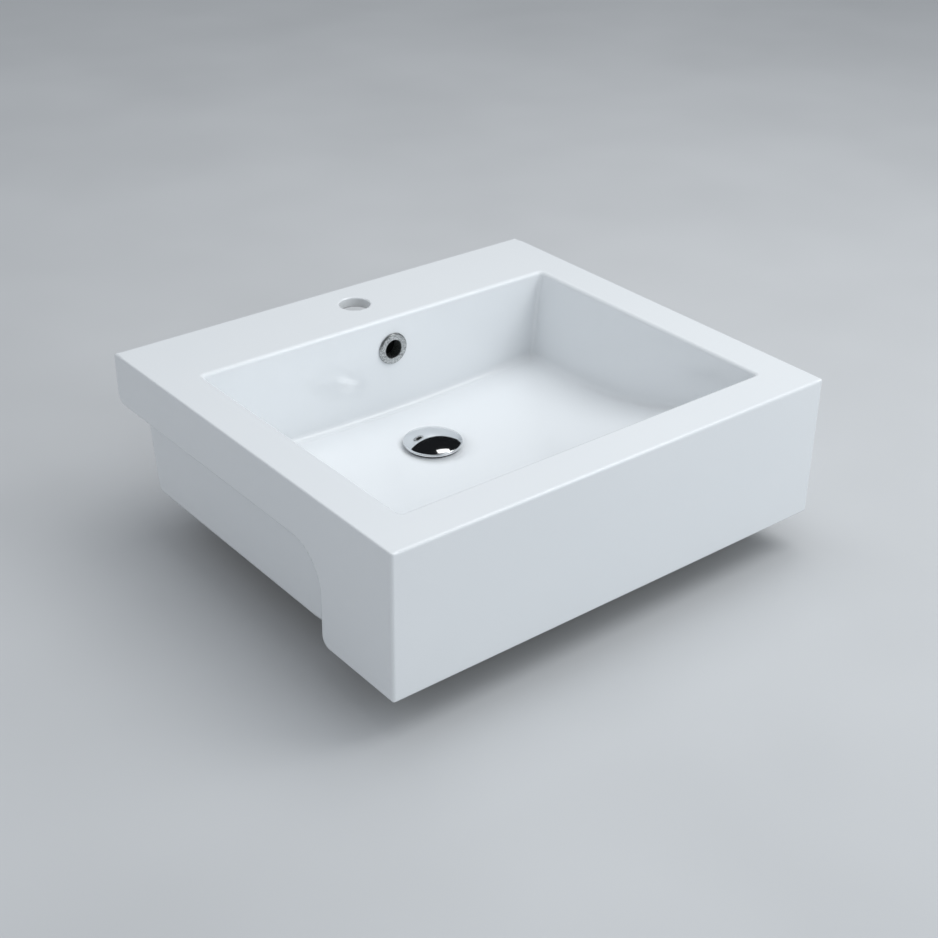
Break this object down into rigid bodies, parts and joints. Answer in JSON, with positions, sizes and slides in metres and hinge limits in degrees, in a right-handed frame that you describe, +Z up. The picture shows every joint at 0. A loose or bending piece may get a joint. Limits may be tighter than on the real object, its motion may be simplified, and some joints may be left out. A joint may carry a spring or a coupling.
{
  "type": "semi recessed basin",
  "caption": "Rectangular ceramic basin with a deep front apron that overhangs a counter's edge, a flat tap deck, an overflow and a domed push plug.",
  "frame": {"origin": "on the waste's axis, level with the counter top that the underside of the rim rests on", "axes": "+X to the right seen from the front, +Y to the wall, +Z up"},
  "size_m": [0.55, 0.495, 0.198],
  "materials": {
    "ceramic": "gloss",
    "chrome": "polished",
    "brass": "turned",
    "steel": "drawn",
    "seal_rubber": "matte",
    "plastic": "matte"
  },
  "bodies": {
    "root": {"basin": "ceramic", "overflow_ring": "chrome", "overflow_sleeve": "seal_rubber", "waste_body": "chrome", "flange_seal": "seal_rubber", "lower_washer": "seal_rubber", "slip_washer": "plastic", "backnut": "brass", "cartridge_housing": "brass", "cartridge_cap": "brass", "spindle_ring": "seal_rubber", "return_spring": "steel"},
    "plug": {"plug_cap": "chrome", "plug_seal": "seal_rubber", "plunger": "steel", "cap_locknut": "brass"},
    "rotor": {"latch_rotor": "plastic"}
  },
  "joints": [
    {"name": "plug_slide", "type": "slide", "parent": "root", "child": "plug", "axis": [0, 0, 1], "range_m": [0, 0.009], "deforming": ["return_spring"]},
    {"name": "latch_turn", "type": "hinge", "parent": "plug", "child": "rotor", "pos_m": [0, 0, -0.086], "axis": [0, 0, 1], "range_deg": [0, 60]}
  ],
  "couplings": [
    {"joint": "latch_turn", "follows": "plug_slide", "rad_per_m": 116.35}
  ]
}
